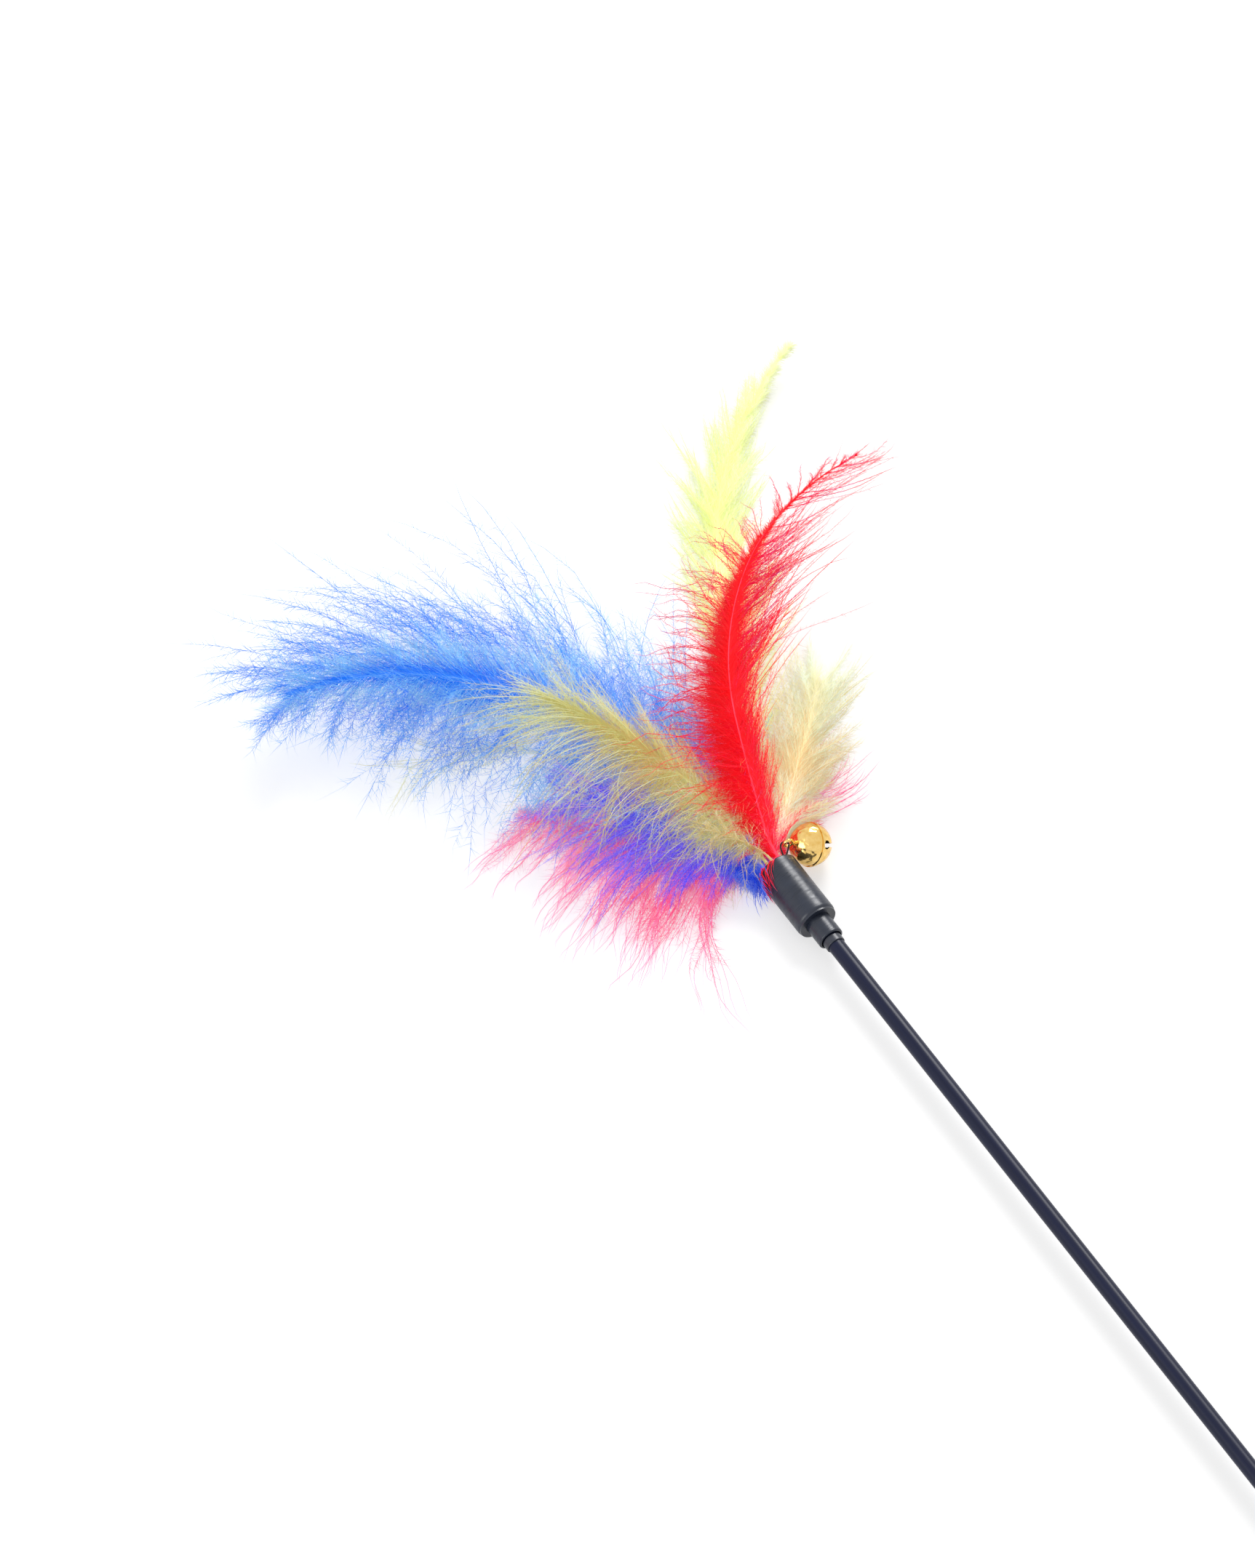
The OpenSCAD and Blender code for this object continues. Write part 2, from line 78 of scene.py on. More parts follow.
bm = bmesh.new()
bmesh.ops.create_grid(bm, x_segments=2, y_segments=2, size=FLOOR_REACH)
bmesh.ops.translate(bm, vec=(FLOOR_X, 0, FLOOR_Z), verts=bm.verts)
floor_mesh = bpy.data.meshes.new("floor")
bm.to_mesh(floor_mesh)
bm.free()
floor = bpy.data.objects.new("floor", floor_mesh)
bpy.context.scene.collection.objects.link(floor)
floor_mat, fn, link, floor_shader = new_material("paper_floor")
floor_shader.inputs["Base Color"].default_value = paint("#c4c4c4")
floor_shader.inputs["Roughness"].default_value = 1.0
floor_shader.inputs["Specular IOR Level"].default_value = 0.0
floor_shader.inputs["Emission Color"].default_value = (1, 1, 1, 1)
glow = fn.new("ShaderNodeMath")
glow.operation = "MULTIPLY"
glow.inputs[1].default_value = PAPER_GLOW
link(seen_rays(fn, link), glow.inputs[0])
link(glow.outputs[0], floor_shader.inputs["Emission Strength"])
floor_mesh.materials.append(floor_mat)

world = bpy.data.worlds.new("studio")
world.use_nodes = True
wn, wlink = world.node_tree.nodes, world.node_tree.links.new
strength = wn.new("ShaderNodeMapRange")
strength.inputs["To Min"].default_value = TENT_LIGHT
strength.inputs["To Max"].default_value = 1.0
wlink(seen_rays(wn, wlink), strength.inputs["Value"])
wn["Background"].inputs["Color"].default_value = (1, 1, 1, 1)
wlink(strength.outputs["Result"], wn["Background"].inputs["Strength"])
bpy.context.scene.world = world

# Lamps and camera: two large soft boxes, and a long lens that looks down on the head of the wand
# from behind its left side, so that the rod runs off to the lower right.
CAMERA_AIM = Vector((449.5, 15.5, 0)) * MM
CAMERA_WAY = Vector((-0.493, 0.3146, 0.811)).normalized()
CAMERA_FAR = 3.0
VIEW_HEIGHT = 355.8 * MM


def soft_box(name, place, aim, size, power):
    """A square area lamp at place that looks at aim."""
    lamp = bpy.data.lights.new(name, "AREA")
    lamp.shape = "SQUARE"
    lamp.size = size
    lamp.energy = power
    made = bpy.data.objects.new(name, lamp)
    made.location = place
    made.rotation_euler = (Vector(aim) - Vector(place)).to_track_quat("-Z", "Y").to_euler()
    bpy.context.scene.collection.objects.link(made)


soft_box("key_light", place=(1.13, -0.8, 0.9), aim=CAMERA_AIM, size=0.6, power=13)
soft_box("fill_light", place=(0.3, 1.2, 0.6), aim=CAMERA_AIM, size=0.9, power=7)

lens = bpy.data.cameras.new("camera")
lens.sensor_fit = "VERTICAL"
lens.sensor_height = 24
lens.lens = lens.sensor_height * CAMERA_FAR / VIEW_HEIGHT
lens.clip_start = 0.05
lens.clip_end = 50
camera = bpy.data.objects.new("camera", lens)
camera.location = CAMERA_AIM + CAMERA_WAY * CAMERA_FAR
camera.rotation_euler = (-CAMERA_WAY).to_track_quat("-Z", "Y").to_euler()
bpy.context.scene.collection.objects.link(camera)
bpy.context.scene.camera = camera
bpy.context.scene.view_settings.view_transform = "Standard"


# Rod: a straight round stick of black plastic, drawn smooth, with a blue cast and faint streaks
# along its length. Its ends are pushed into the sleeve and the butt cap.
def dress(node, mat):
    """Gives a CAD node its finish."""
    nodes[node].data.materials.clear()
    nodes[node].data.materials.append(mat)


def new_group(name, inputs, outputs):
    """An empty shader node group with named sockets: (group, nodes, link function, ins, outs)."""
    group = bpy.data.node_groups.new(name, "ShaderNodeTree")
    for label, kind, value in inputs:
        socket = group.interface.new_socket(label, in_out="INPUT", socket_type="NodeSocket" + kind)
        socket.default_value = value
    for label, kind in outputs:
        group.interface.new_socket(label, in_out="OUTPUT", socket_type="NodeSocket" + kind)
    start = group.nodes.new("NodeGroupInput")
    end = group.nodes.new("NodeGroupOutput")
    return group, group.nodes, group.links.new, start.outputs, end.inputs


def placed(fn, group, values):
    """A group placed in a material with its own values: its outputs, and its inputs for links."""
    node = fn.new("ShaderNodeGroup")
    node.node_tree = group
    for label, value in values.items():
        node.inputs[label].default_value = value
    return node.outputs, node.inputs


def mapped(fn, link, value, low, high, out_low, out_high):
    """The value taken from one range to another, whose ends are numbers or sockets."""
    node = fn.new("ShaderNodeMapRange")
    node.inputs["From Min"].default_value = low
    node.inputs["From Max"].default_value = high
    for label, end in (("To Min", out_low), ("To Max", out_high)):
        if isinstance(end, bpy.types.NodeSocket):
            link(end, node.inputs[label])
        else:
            node.inputs[label].default_value = end
    link(value, node.inputs["Value"])
    return node.outputs["Result"]


def blended(fn, link, part, first, second):
    """Two colours mixed by part. Each is a socket or a web colour."""
    node = fn.new("ShaderNodeMix")
    node.data_type = "RGBA"
    for label, colour in (("A", first), ("B", second)):
        if isinstance(colour, str):
            node.inputs[label].default_value = paint(colour)
        else:
            link(colour, node.inputs[label])
    link(part, node.inputs["Factor"])
    return node.outputs["Result"]


def worked(fn, link, operation, first, second):
    """One step of arithmetic on two values. Each is a socket or a number."""
    node = fn.new("ShaderNodeMath")
    node.operation = operation
    for place, value in enumerate((first, second)):
        if isinstance(value, bpy.types.NodeSocket):
            link(value, node.inputs[place])
        else:
            node.inputs[place].default_value = value
    return node.outputs[0]


# The mottle that every hard part has: clouds or streaks in its colour, its gloss and its relief.
# Nearly all of a noise texture's values lie in NOISE_RANGE.
NOISE_RANGE = (0.3, 0.7)
mottle, gn, glink, given, made = new_group(
    "mottled_skin",
    (
        ("Stretch", "Vector", (1, 1, 1)), ("Scale", "Float", 500), ("Detail", "Float", 2),
        ("Dark", "Color", (0, 0, 0, 1)), ("Light", "Color", (1, 1, 1, 1)),
        ("Smooth", "Float", 0.3), ("Worn", "Float", 0.4),
        ("Relief", "Float", 0), ("Depth", "Float", 0.0001),
    ),
    (("Color", "Color"), ("Roughness", "Float"), ("Normal", "Vector")),
)
place = gn.new("ShaderNodeTexCoord")
turn = gn.new("ShaderNodeMapping")
noise = gn.new("ShaderNodeTexNoise")
bump = gn.new("ShaderNodeBump")
glink(place.outputs["Object"], turn.inputs["Vector"])
glink(given["Stretch"], turn.inputs["Scale"])
glink(turn.outputs["Vector"], noise.inputs["Vector"])
glink(given["Scale"], noise.inputs["Scale"])
glink(given["Detail"], noise.inputs["Detail"])
glink(blended(gn, glink, noise.outputs["Fac"], given["Dark"], given["Light"]), made["Color"])
gloss = mapped(gn, glink, noise.outputs["Fac"], *NOISE_RANGE, given["Smooth"], given["Worn"])
glink(gloss, made["Roughness"])
glink(given["Relief"], bump.inputs["Strength"])
glink(given["Depth"], bump.inputs["Distance"])
glink(noise.outputs["Fac"], bump.inputs["Height"])
glink(bump.outputs["Normal"], made["Normal"])


def mottled(fn, dark, light, scale, detail, smooth, worn, **more):
    """The mottle placed in a material: its outputs."""
    colours = dict(Dark=paint(dark), Light=paint(light))
    values = dict(Scale=scale, Detail=detail, Smooth=smooth, Worn=worn)
    return placed(fn, mottle, {**colours, **values, **more})[0]


rod_mat, fn, link, shader = new_material("satin_black_rod")
streaks = mottled(
    fn, "#10142a", "#1c2240", scale=900, detail=3, smooth=0.28, worn=0.38, Stretch=(0.02, 1, 1)
)
link(streaks["Color"], shader.inputs["Base Color"])
link(streaks["Roughness"], shader.inputs["Roughness"])
shader.inputs["Specular IOR Level"].default_value = 0.22
dress("rod", rod_mat)

# Glue bead: a low ring of clear glue that has run out and set where the rod enters the sleeve. It
# is a little lighter and glossier than the rod.
glue_mat, fn, link, shader = new_material("smoky_glue")
cloud = mottled(fn, "#20232d", "#373b48", scale=700, detail=2, smooth=0.27, worn=0.34)
link(cloud["Color"], shader.inputs["Base Color"])
link(cloud["Roughness"], shader.inputs["Roughness"])
dress("rod_glue", glue_mat)

# Sleeve and the two caps: soft black vinyl mouldings with a satin skin, pushed over the rod and
# over each other. Handling has left fine scuffs round them, and the head cap has the most.
vinyl_mat, fn, link, shader = new_material("scuffed_soft_vinyl")
cast = mottled(fn, "#151a25", "#272f41", scale=260, detail=3, smooth=0.22, worn=0.42)
scuffs = mottled(
    fn, "#151a25", "#272f41", scale=1400, detail=4, smooth=0.21, worn=0.44,
    Stretch=(1, 0.25, 0.25), Relief=0.3, Depth=0.00012
)
link(cast["Color"], shader.inputs["Base Color"])
link(scuffs["Roughness"], shader.inputs["Roughness"])
link(scuffs["Normal"], shader.inputs["Normal"])
shader.inputs["Specular IOR Level"].default_value = 0.5
for name in ("sleeve", "head_cap", "butt_cap"):
    dress(name, vinyl_mat)

# Glue plug: a cast of milky hot glue that fills the head cap behind its mouth and holds every
# quill. It shows only between the quills.
plug_mat, fn, link, shader = new_material("hot_glue")
cloud = mottled(fn, "#c9bd86", "#e2d8a6", scale=500, detail=2, smooth=0.32, worn=0.38)
link(cloud["Color"], shader.inputs["Base Color"])
link(cloud["Roughness"], shader.inputs["Roughness"])
dress("glue_plug", plug_mat)

# Winding and bell tie: waxed black cotton thread, wound round the quills before they were glued in,
# with one end looped through the bell's eye and knotted.
thread_mat, fn, link, shader = new_material("black_thread")
place = fn.new("ShaderNodeTexCoord")
turns = fn.new("ShaderNodeTexWave")
turns.bands_direction = "X"
turns.inputs["Scale"].default_value = 900
link(place.outputs["Object"], turns.inputs["Vector"])
link(blended(fn, link, turns.outputs["Fac"], "#101014", "#3a3a42"), shader.inputs["Base Color"])
bump = fn.new("ShaderNodeBump")
bump.inputs["Strength"].default_value = 0.6
bump.inputs["Distance"].default_value = 0.0001
link(turns.outputs["Fac"], bump.inputs["Height"])
link(bump.outputs["Normal"], shader.inputs["Normal"])
shader.inputs["Roughness"].default_value = 0.8
for name in ("quill_binding", "bell_tie"):
    dress(name, thread_mat)

# Bell: two pressed brass shells crimped at the equator, gold plated and slightly dented, with a
# round wire eye on top. The plating ends at the slot: inside, the brass is dull and brown.
BELL_AT = (412.9, -10.125, 0.275)
CAVITY_R = 4.6
PLATING_START = (CAVITY_R + 0.02) * MM
PLATING_FULL = (CAVITY_R + 0.12) * MM
DULL, SHINY = 0.6, 0.16
brass_mat, fn, link, shader = new_material("gold_plated_brass")
tone = mottled(fn, "#d9a441", "#ffe29a", scale=800, detail=2, smooth=0.14, worn=0.2)
dents = mottled(
    fn, "#d9a441", "#ffe29a", scale=420, detail=1.5, smooth=0.14, worn=0.2, Relief=0.8, Depth=0.0007
)
place = fn.new("ShaderNodeTexCoord")
far = fn.new("ShaderNodeVectorMath")
far.operation = "DISTANCE"
far.inputs[1].default_value = [c * MM for c in BELL_AT]
link(place.outputs["Object"], far.inputs[0])
plated = mapped(fn, link, far.outputs["Value"], PLATING_START, PLATING_FULL, 0, 1)
link(blended(fn, link, plated, "#33220e", tone["Color"]), shader.inputs["Base Color"])
link(mapped(fn, link, plated, 0, 1, DULL, SHINY), shader.inputs["Roughness"])
link(dents["Normal"], shader.inputs["Normal"])
shader.inputs["Metallic"].default_value = 1.0
for name in ("bell_crown", "bell_base", "bell_eye"):
    dress(name, brass_mat)

# Pellet: a loose ball of dull grey steel, closed into the bell, that rattles in the bowl of its
# base.
steel_mat, fn, link, shader = new_material("dull_steel")
grain = mottled(fn, "#8c8f94", "#b9bcc2", scale=1500, detail=2, smooth=0.3, worn=0.42)
link(grain["Color"], shader.inputs["Base Color"])
link(grain["Roughness"], shader.inputs["Roughness"])
shader.inputs["Metallic"].default_value = 1.0
dress("bell_pellet", steel_mat)

# Long blue plume: dyed marabou, whose soft barbs stand out from a thin tapered quill that is glued
# into the head cap. It sweeps to the left with loose open barbs. Each barb of a plume is a fine
# strand of its own with many fine barbules, and gathers with its neighbours into a pointed lock.
LEFT, RIGHT = 1, -1
MOUTH_X = 411.3
RING_R = 2.5
CORE_R = 1.0
SPINE_STEPS = 400
TURN_AT = (0, 0.3, 0.6, 1)
RISE_AT = (0, 0.4, 0.7, 1)
QUILL_BEND = 9.0
QUILL_RADII = ((0, 0.45), (0.15, 0.26), (0.6, 0.14), (1, 0.04))
QUILL_POINTS = 40
QUILL_SIDES = 8
STRAND_SIDES = 3
# What most plumes share: how far from the cap's axis the quill stands, how much of the plume's
# length it has, and the share of it that has another dye. All tables of plumes and barbs go by the
# share of a length, lengths are in mm, and angles are in degrees from the quill.
PLUME = dict(ring=RING_R, quill=0.86, near=0)
# How the barbs on one side of a plume stand, unless it says otherwise: their number of points and
# thickness; how many share a lock and how much locks differ; how much barbs differ at root and tip,
# bend, curl, wave, rise and droop; the shortest one; how far a lock draws together; the part of the
# quill that they stand on and where they crowd; and the number, length, thickness and end of their
# barbules. For a down, which has none, down is where its tips are in the dye.
BARBS = dict(
    points=7, thick=0.075, lock=5, lock_jit=7, lock_bend=14, lock_size=0.14, jit=6, jit_end=8,
    bend=1.0, curl=14, wave=6, waves=1.3, lift=0, fluff=6, droop=0, short=0.4, pull=0.6,
    span=(0, 1), where=((0, 1),), each=44, hair=4.0, fine=0.036, until=0.8, down=0
)
REACH = ((0, 0.12), (0.06, 0.5), (0.2, 0.9), (0.42, 1), (0.65, 0.86), (0.85, 0.5), (1, 0.05))
LOCK_LIFT = 5
LOCK_SIZES = (0.4, 1.3)
WOBBLE = 3
THICK_VARY = 0.25
THICK_RANGE = (0.5, 1.6)
TAPER = 0.55
CURL_POWER, PULL_POWER, TAPER_POWER = 3, 1.3, 1.2
LIFT_LOST = 0.5
CROWD_STEPS = 101
NEARLY_NONE = 1e-6


def along(u, table):
    """A table of (share of the length, value) read at u."""
    return np.interp(u, [row[0] for row in table], [row[1] for row in table])


def ease(t):
    """From 0 to 1 with a soft start and end."""
    u = np.clip(t, 0, 1)
    return u * u * (3 - 2 * u)


def spine(at, plume):
    """Points and frames (ahead, left, top) of a plume's quill at the distances at, in mm."""
    length, ring, angle = plume["len"], plume["ring"], math.radians(plume["angle"])
    fine = np.linspace(0, length, SPINE_STEPS)

    def angles(s):
        bend = ease(s / QUILL_BEND)
        a = np.radians(bend * np.interp(s / length, TURN_AT, plume["turns"]))
        e = np.radians(bend * np.interp(s / length, RISE_AT, plume["rises"]))
        return a, e

    def heading(s):
        a, e = angles(s)
        return np.stack([np.cos(e) * np.cos(a), np.cos(e) * np.sin(a), np.sin(e)], -1)

    steps = np.diff(fine)[:, None] * heading((fine[1:] + fine[:-1]) / 2)
    start = [MOUTH_X, ring * math.cos(angle), ring * math.sin(angle)]
    path = np.vstack([start, start + np.cumsum(steps, 0)])
    points = np.stack([np.interp(at, fine, path[:, i]) for i in range(3)], -1)
    a, _ = angles(at)
    ahead = heading(at)
    left = np.stack([-np.sin(a), np.cos(a), np.zeros_like(a)], -1)
    return points, ahead, left, np.cross(ahead, left)


def comb(rng, plume, side, look):
    """Paths of the barbs on one side of a plume: (paths, radii, shares along the plume)."""
    n, points, length = look["n"], look["points"], plume["len"]
    bare, last = look.get("bare", plume["bare"]), length * plume["quill"]
    low, high = look["span"]
    fine = np.linspace(0, 1, CROWD_STEPS)
    crowd = np.cumsum(along(fine, look["where"]))
    crowd = (crowd - crowd[0]) / (crowd[-1] - crowd[0])
    u = low + (high - low) * np.interp(np.sort(rng.random(n)), crowd, fine)
    s = bare + (last - bare) * u
    root, ahead, left, top = spine(s, plume)
    t = np.linspace(0, 1, points)
    mid = (t[1:] + t[:-1]) / 2
    lock = np.arange(n) // look["lock"]
    locks = lock.max() + 1
    # The way that each barb heads, in the plane of the plume and out of it
    lock_turn = rng.normal(0, look["lock_jit"], locks)[lock]
    lock_bend = rng.normal(0, look["lock_bend"], locks)[lock]
    lock_size = np.clip(1 + rng.normal(0, look["lock_size"], locks), *LOCK_SIZES)[lock]
    start = along(u, look["start"]) + lock_turn + rng.normal(0, look["jit"], n)
    end = along(u, look["end"]) + lock_turn + lock_bend + rng.normal(0, look["jit_end"], n)
    curl = rng.normal(0, look["curl"], n)
    bend = (end - start)[:, None] * mid[None, :] ** look["bend"]
    theta = start[:, None] + bend + curl[:, None] * mid[None, :] ** CURL_POWER
    wave = look["wave"] * np.sin(2 * np.pi * (mid[None, :] * look["waves"] + rng.random((n, 1))))
    theta = np.radians(theta + wave * mid[None, :])
    lift = rng.normal(look["lift"], look["fluff"], n) + rng.normal(0, LOCK_LIFT, locks)[lock]
    lift = lift[:, None] * (1 - LIFT_LOST * mid[None, :]) - look["droop"] * mid[None, :]
    lift = np.radians(lift + rng.normal(0, WOBBLE, (n, points - 1)))
    # Its length, and the line that it draws
    spread = look["short"] + (1 - look["short"]) * rng.random(n)
    size = look["long"] * along(u, look["shape"]) * spread * lock_size
    if look["down"]:
        size = size * along(u, look["fade"])
    step = (size / (points - 1))[:, None, None]
    theta, lift = theta[..., None], lift[..., None]
    flat = np.cos(theta) * ahead[:, None] + side * np.sin(theta) * left[:, None]
    way = np.cos(lift) * flat + np.sin(lift) * top[:, None]
    paths = np.concatenate([root[:, None], root[:, None] + np.cumsum(way * step, 1)], 1)
    # Each lock draws together towards its tip
    mean = np.zeros((locks, points, 3))
    np.add.at(mean, lock, paths)
    mean /= np.bincount(lock, minlength=locks)[:, None, None]
    paths = paths + look["pull"] * t[None, :, None] ** PULL_POWER * (mean[lock] - paths)
    thick = look["thick"] * (1 + THICK_VARY * rng.standard_normal(n)).clip(*THICK_RANGE)
    radii = thick[:, None] * (1 - TAPER * t[None, :] ** TAPER_POWER)
    radii[:, -1] = 0
    return kept_clear(paths), radii, s / length


# Barbules: they start a little way up the barb, lean towards its tip, stand flatter than all round,
# and are shorter towards the tip
HAIR_BEGIN = 0.03
HAIR_LEAN = (15, 75)
HAIR_FLAT = (1, 1, 0.55)
HAIR_ROOT, HAIR_FALL = 1.15, 0.8
HAIR_SIZES = (0.5, 1.2)
HAIR_SHARE = 0.08


def barbules(rng, paths, look):
    """Short fine hairs on both sides of every barb: (paths, radii, share along the barb)."""
    (n, points), each = paths.shape[:2], look["each"]
    count = np.arange(each)[None, :] + rng.random((n, each))
    at = (HAIR_BEGIN + (look["until"] - HAIR_BEGIN) * count / each).ravel()
    barb = np.repeat(np.arange(n), each)
    place = at * (points - 1)
    low = np.minimum(place.astype(int), points - 2)
    first, second = paths[barb, low], paths[barb, low + 1]
    root = first + (place - low)[:, None] * (second - first)
    ahead = second - first
    ahead /= np.maximum(np.linalg.norm(ahead, axis=1), NEARLY_NONE)[:, None]
    out = rng.standard_normal((len(at), 3)) * np.array(HAIR_FLAT)
    out -= ahead * np.sum(ahead * out, 1)[:, None]
    out /= np.maximum(np.linalg.norm(out, axis=1), NEARLY_NONE)[:, None]
    lean = np.radians(rng.uniform(*HAIR_LEAN, len(at)))[:, None]
    size = look["hair"] * (HAIR_ROOT - HAIR_FALL * at) * rng.uniform(*HAIR_SIZES, len(at))
    tip = root + (np.cos(lean) * ahead + np.sin(lean) * out) * size[:, None]
    radii = np.stack([np.full(len(at), look["fine"]), np.zeros(len(at))], -1)
    return kept_clear(np.stack([root, tip], 1)), radii, at


# Room round the floor, the head cap, and the bell at five places of its swing
FLOOR_ROOM = 0.2
CAP_R = 4.925
CAP_ROOM = 0.25
MOUTH_ROOM = 0.3
BELL_R = 4.95
BELL_ROOM = 0.9
BELL_SWING = (
    (412.93, -9.94, 0), BELL_AT, (412.7, -10.95, 2.6), (412.7, -10.9, 5.6), (412.9, -9.6, 8.1),
)
BELL_LOW = 1
LEAST_FAR = 0.01


def kept_clear(paths):
    """The paths moved out of the floor, the head cap and the bell."""
    flat = paths.reshape(-1, 3)
    out = np.hypot(flat[:, 1], flat[:, 2])
    near = (flat[:, 0] < MOUTH_X + MOUTH_ROOM) & (out < CAP_R + CAP_ROOM)
    flat[near, 1:] *= ((CAP_R + CAP_ROOM) / np.maximum(out[near], LEAST_FAR))[:, None]
    for at in BELL_SWING[::-1]:
        # Low down, where the floor is near, a strand is moved aside only
        moved = 2 if at[2] < BELL_LOW else 3
        away = flat - np.array(at)
        inside = np.linalg.norm(away, axis=1) < BELL_R + BELL_ROOM
        away = away[inside]
        reach = np.sqrt((BELL_R + BELL_ROOM) ** 2 - np.sum(away[:, moved:] ** 2, 1))
        far = np.maximum(np.linalg.norm(away[:, :moved], axis=1), LEAST_FAR)
        flat[inside, :moved] += away[:, :moved] * (reach / far - 1)[:, None]
    flat[:, 2] = np.maximum(flat[:, 2], FLOOR_Z / MM + FLOOR_ROOM)
    return flat.reshape(paths.shape)


# A strand's UV is its share along the barb, and one of 64 bands that choose its tone: the first
# are for barbs, the next for barbules, the last for quills. The first half of the barbs' bands and
# of the barbules' are for the part of a plume near the cap, where the dye can differ.
BANDS = 64
DOWN_BAND = 32
QUILL_BAND = 60
NEAR_BANDS = 16
NEAR_EDGE = 0.3
BAND_MARGIN = 0.15


def tone_bands(rng, share, near, first, end):
    """A band for each strand, from the first half where its share along the plume is below near,
    with a soft edge."""
    far = rng.random(len(share)) < (share - near) / NEAR_EDGE + 0.5
    low = np.where(far, first + NEAR_BANDS, first)
    room = np.where(far, end - first - NEAR_BANDS, NEAR_BANDS)
    return low + (rng.random(len(share)) * room).astype(int)


def strand_mesh(name, paths, radii, bands, sides, shares=(0, 1)):
    """Tapered closed strands along the paths. The shares are the UV of their roots and tips."""
    profile = bpy.data.curves.new("profile", "CURVE")
    profile.dimensions = "2D"
    ring = profile.splines.new("POLY")
    ring.points.add(sides - 1)
    ring.use_cyclic_u = True
    for k in range(sides):
        turn = 2 * math.pi * k / sides
        ring.points[k].co = (math.cos(turn), math.sin(turn), 0, 1)
    profile_object = bpy.data.objects.new("profile", profile)
    bpy.context.scene.collection.objects.link(profile_object)
    curve = bpy.data.curves.new(name, "CURVE")
    curve.dimensions = "3D"
    curve.bevel_mode = "OBJECT"
    curve.bevel_object = profile_object
    curve.use_fill_caps = True
    count = paths.shape[1]
    rows = np.concatenate([paths * MM, np.ones(paths.shape[:2] + (1,))], -1).astype(np.float32)
    for row, radius in zip(rows, (radii * MM).astype(np.float32)):
        line = curve.splines.new("POLY")
        line.points.add(count - 1)
        line.points.foreach_set("co", row.ravel())
        line.points.foreach_set("radius", radius)
    holder = bpy.data.objects.new(name, curve)
    bpy.context.scene.collection.objects.link(holder)
    bpy.context.view_layer.update()
    swept = holder.evaluated_get(bpy.context.evaluated_depsgraph_get())
    mesh = bpy.data.meshes.new_from_object(swept)
    bpy.data.objects.remove(holder)
    bpy.data.objects.remove(profile_object)
    bpy.data.curves.remove(curve)
    bpy.data.curves.remove(profile)
    # The end caps come first, from the last strand's tip back to the first strand's root
    caps = 2 * sides * len(paths)
    number = np.arange(len(mesh.vertices))
    body = number - caps
    share = np.where(body < 0, 1 - (number // sides) % 2, (body // sides) % count / (count - 1))
    strand = np.where(body < 0, len(paths) - 1 - number // (2 * sides), body // (sides * count))
    root, tip = (np.broadcast_to(end, len(paths)) for end in shares)
    u = root[strand] + (tip[strand] - root[strand]) * share
    across = BAND_MARGIN + (1 - 2 * BAND_MARGIN) * (number % sides) / (sides - 1)
    v = (np.asarray(bands)[strand] + across) / BANDS
    corner = np.empty(len(mesh.loops), np.int32)
    mesh.loops.foreach_get("vertex_index", corner)
    while mesh.uv_layers:
        mesh.uv_layers.remove(mesh.uv_layers[0])
    layer = mesh.uv_layers.new(name="OFBake")
    layer.data.foreach_set("uv", np.stack([u[corner], v[corner]], -1).astype(np.float32).ravel())
    mesh.name = name
    return mesh


WELD = 0.0001


def joined(name, meshes):
    """One mesh object from several meshes."""
    bm = bmesh.new()
    for mesh in meshes:
        bm.from_mesh(mesh)
        bpy.data.meshes.remove(mesh)
    bmesh.ops.remove_doubles(bm, verts=bm.verts, dist=WELD * MM)
    made = bpy.data.meshes.new(name)
    bm.to_mesh(made)
    bm.free()
    made.shade_smooth()
    piece = bpy.data.objects.new(name, made)
    bpy.context.scene.collection.objects.link(piece)
    return piece


# The dye of every plume: it changes from the root of a barb to its end, differs between barbs and
# barbules, and by a little from strand to strand
LOWER_BLEND = (0.1, 0.55)
UPPER_BLEND = (0.55, 0.95)
SATURATION_SPREAD = (1.14, 0.98)
NEAR_DEPTH = 0.7
COLOURS = (
    "Barb root", "Barb middle", "Barb end", "Down root", "Down middle", "Down end",
    "Quill", "Near dye",
)
dye, gn, glink, given, made = new_group(
    "marabou_dye",
    [("Strand", "Vector", (0, 0, 0))] + [(label, "Color", (1, 1, 1, 1)) for label in COLOURS]
    + [("Near amount", "Float", 0), ("Variation", "Float", 0.1)],
    (("Color", "Color"),),
)
parts = gn.new("ShaderNodeSeparateXYZ")
glink(given["Strand"], parts.inputs[0])
share = parts.outputs["X"]
band = worked(gn, glink, "MULTIPLY", parts.outputs["Y"], BANDS)
band = worked(gn, glink, "FLOOR", band, 0)
lower, upper = (mapped(gn, glink, share, *ends, 0, 1) for ends in (LOWER_BLEND, UPPER_BLEND))
kinds = []
for kind in ("Barb", "Down"):
    root = blended(gn, glink, lower, given[kind + " root"], given[kind + " middle"])
    kinds.append(blended(gn, glink, upper, root, given[kind + " end"]))
tone = blended(gn, glink, worked(gn, glink, "GREATER_THAN", band, DOWN_BAND - 0.5), *kinds)
near = worked(gn, glink, "MODULO", band, DOWN_BAND)
near = worked(gn, glink, "LESS_THAN", near, NEAR_BANDS - 0.5)
near = worked(gn, glink, "MULTIPLY", near, given["Near amount"])
speck = gn.new("ShaderNodeTexWhiteNoise")
speck.noise_dimensions = "1D"
glink(band, speck.inputs["W"])
shade = gn.new("ShaderNodeHueSaturation")
dark = worked(gn, glink, "SUBTRACT", 1, given["Variation"])
light = worked(gn, glink, "ADD", 1, given["Variation"])
value = mapped(gn, glink, speck.outputs["Value"], 0, 1, dark, light)
glink(value, shade.inputs["Value"])
